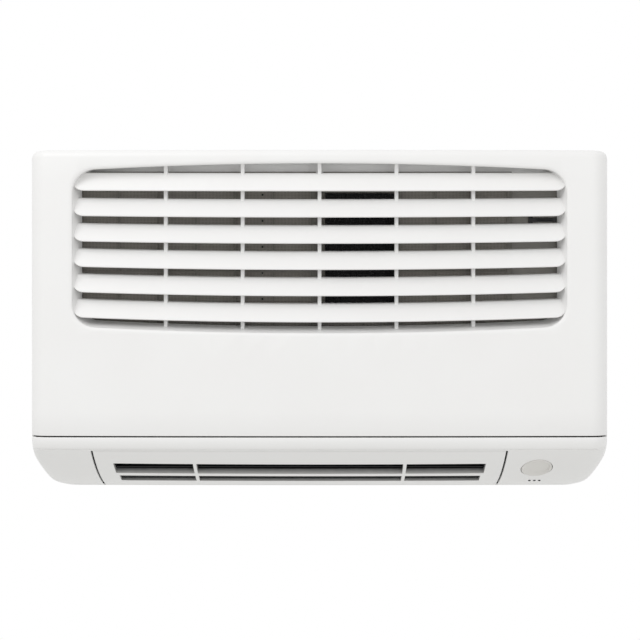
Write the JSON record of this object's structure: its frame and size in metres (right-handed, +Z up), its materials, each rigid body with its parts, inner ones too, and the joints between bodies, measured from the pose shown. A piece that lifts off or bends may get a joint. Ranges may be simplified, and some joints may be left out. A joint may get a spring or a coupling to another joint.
{
  "type": "mini split indoor unit",
  "caption": "Compact wall-hung indoor air conditioner unit with a hinged louvred front, a cross-flow fan and a sloping outlet grille.",
  "frame": {"origin": "middle of the mounting plate's rear face, which lies on the wall", "axes": "+X to the right as seen from the room, +Y into the wall, +Z up"},
  "size_m": [0.609, 0.189, 0.362],
  "materials": {
    "white_shell": "light satin",
    "inner_plastic": "matt",
    "pad_plastic": "satin",
    "lamp_lens": "clear dark",
    "circuit_board": "matt",
    "black_plastic": "matt",
    "charcoal": "matt",
    "filter_grey": "matt",
    "mesh_grey": "woven",
    "plated_steel": "zinc plated",
    "motor_can": "satin",
    "coil_aluminium": "fins",
    "copper_pipe": "drawn copper",
    "brass_nut": "machined",
    "foam": "foamed",
    "rubber_bush": "matt",
    "lid_steel": "satin",
    "component_dark": "matt",
    "component_blue": "matt"
  },
  "bodies": {
    "case": {"cabinet": "white_shell", "outlet_grille": "white_shell", "indicator_lamp_left": "lamp_lens", "indicator_lamp_middle": "lamp_lens", "indicator_lamp_right": "lamp_lens", "display_board": "circuit_board", "control_board": "circuit_board", "push_switch": "black_plastic", "signal_receiver": "black_plastic", "vane_rail": "black_plastic", "room_sensor": "black_plastic", "chassis": "inner_plastic", "drain_pan": "inner_plastic", "drain_spout": "inner_plastic", "motor_bracket": "inner_plastic", "bearing_mount": "inner_plastic", "control_box": "inner_plastic", "cord_clamp": "inner_plastic", "mounting_plate": "plated_steel", "vane_motor": "plated_steel", "cabinet_screw_left": "plated_steel", "cabinet_screw_right": "plated_steel", "lid_screw": "plated_steel", "fan_motor": "motor_can", "evaporator_front": "coil_aluminium", "evaporator_rear": "coil_aluminium", "liquid_pipe": "copper_pipe", "gas_pipe": "copper_pipe", "coil_sensor": "copper_pipe", "liquid_flare_nut": "brass_nut", "gas_flare_nut": "brass_nut", "liquid_insulation": "foam", "gas_insulation": "foam", "bearing_bush": "rubber_bush", "filter_frame_left": "filter_grey", "filter_frame_right": "filter_grey", "filter_mesh_left": "mesh_grey", "filter_mesh_right": "mesh_grey", "charcoal_filter": "charcoal", "control_box_lid": "lid_steel", "transformer": "component_dark", "fan_capacitor": "component_dark", "terminal_block": "component_dark", "relay": "component_blue"},
    "panel": {"front_panel": "white_shell", "intake_louvre": "white_shell"},
    "fan": {"cross_flow_fan": "black_plastic"},
    "button": {"manual_button": "pad_plastic"},
    "flap": {"horizontal_vane": "black_plastic"},
    "vane_1": {"vertical_vane_1": "black_plastic"},
    "vane_2": {"vertical_vane_2": "black_plastic"},
    "vane_3": {"vertical_vane_3": "black_plastic"},
    "vane_4": {"vertical_vane_4": "black_plastic"},
    "vane_5": {"vertical_vane_5": "black_plastic"},
    "vane_6": {"vertical_vane_6": "black_plastic"},
    "vane_7": {"vertical_vane_7": "black_plastic"},
    "vane_8": {"vertical_vane_8": "black_plastic"},
    "tie_left": {"tie_bar_left": "black_plastic"},
    "tie_right": {"tie_bar_right": "black_plastic"}
  },
  "joints": [
    {"name": "panel_hinge", "type": "hinge", "parent": "case", "child": "panel", "pos_m": [0, -0.1627, 0.171], "axis": [-1, 0, 0], "range_deg": [0, 60]},
    {"name": "fan_spin", "type": "hinge", "parent": "case", "child": "fan", "pos_m": [0, -0.088, -0.075], "axis": [1, 0, 0], "continuous": true},
    {"name": "button_push", "type": "slide", "parent": "case", "child": "button", "axis": [0, 0.4611, 0.8873], "range_m": [0, 0.0012], "stiffness_N_per_m": 400, "springref_m": -0.001},
    {"name": "flap_swing", "type": "hinge", "parent": "case", "child": "flap", "pos_m": [0, -0.13, -0.152], "axis": [1, 0, 0], "range_deg": [-25, 25]},
    {"name": "vane_1_swing", "type": "hinge", "parent": "case", "child": "vane_1", "pos_m": [-0.2032, -0.11528, -0.13304], "axis": [0, 0.79, -0.6131], "range_deg": [-30, 30]},
    {"name": "vane_2_swing", "type": "hinge", "parent": "case", "child": "vane_2", "pos_m": [-0.1512, -0.11528, -0.13304], "axis": [0, 0.79, -0.6131], "range_deg": [-30, 30]},
    {"name": "vane_3_swing", "type": "hinge", "parent": "case", "child": "vane_3", "pos_m": [-0.0992, -0.11528, -0.13304], "axis": [0, 0.79, -0.6131], "range_deg": [-30, 30]},
    {"name": "vane_4_swing", "type": "hinge", "parent": "case", "child": "vane_4", "pos_m": [-0.0472, -0.11528, -0.13304], "axis": [0, 0.79, -0.6131], "range_deg": [-30, 30]},
    {"name": "vane_5_swing", "type": "hinge", "parent": "case", "child": "vane_5", "pos_m": [0.0048, -0.11528, -0.13304], "axis": [0, 0.79, -0.6131], "range_deg": [-30, 30]},
    {"name": "vane_6_swing", "type": "hinge", "parent": "case", "child": "vane_6", "pos_m": [0.0568, -0.11528, -0.13304], "axis": [0, 0.79, -0.6131], "range_deg": [-30, 30]},
    {"name": "vane_7_swing", "type": "hinge", "parent": "case", "child": "vane_7", "pos_m": [0.1088, -0.11528, -0.13304], "axis": [0, 0.79, -0.6131], "range_deg": [-30, 30]},
    {"name": "vane_8_swing", "type": "hinge", "parent": "case", "child": "vane_8", "pos_m": [0.1608, -0.11528, -0.13304], "axis": [0, 0.79, -0.6131], "range_deg": [-30, 30]},
    {"name": "tie_left_slide", "type": "slide", "parent": "case", "child": "tie_left", "axis": [1, 0, 0], "range_m": [-0.0034, 0.0034]},
    {"name": "tie_right_slide", "type": "slide", "parent": "case", "child": "tie_right", "axis": [1, 0, 0], "range_m": [-0.0034, 0.0034]}
  ],
  "couplings": [
    {"joint": "vane_1_swing", "follows": "tie_left_slide", "rad_per_m": 153.85},
    {"joint": "vane_2_swing", "follows": "tie_left_slide", "rad_per_m": 153.85},
    {"joint": "vane_3_swing", "follows": "tie_left_slide", "rad_per_m": 153.85},
    {"joint": "vane_4_swing", "follows": "tie_left_slide", "rad_per_m": 153.85},
    {"joint": "vane_5_swing", "follows": "tie_right_slide", "rad_per_m": 153.85},
    {"joint": "vane_6_swing", "follows": "tie_right_slide", "rad_per_m": 153.85},
    {"joint": "vane_7_swing", "follows": "tie_right_slide", "rad_per_m": 153.85},
    {"joint": "vane_8_swing", "follows": "tie_right_slide", "rad_per_m": 153.85}
  ]
}
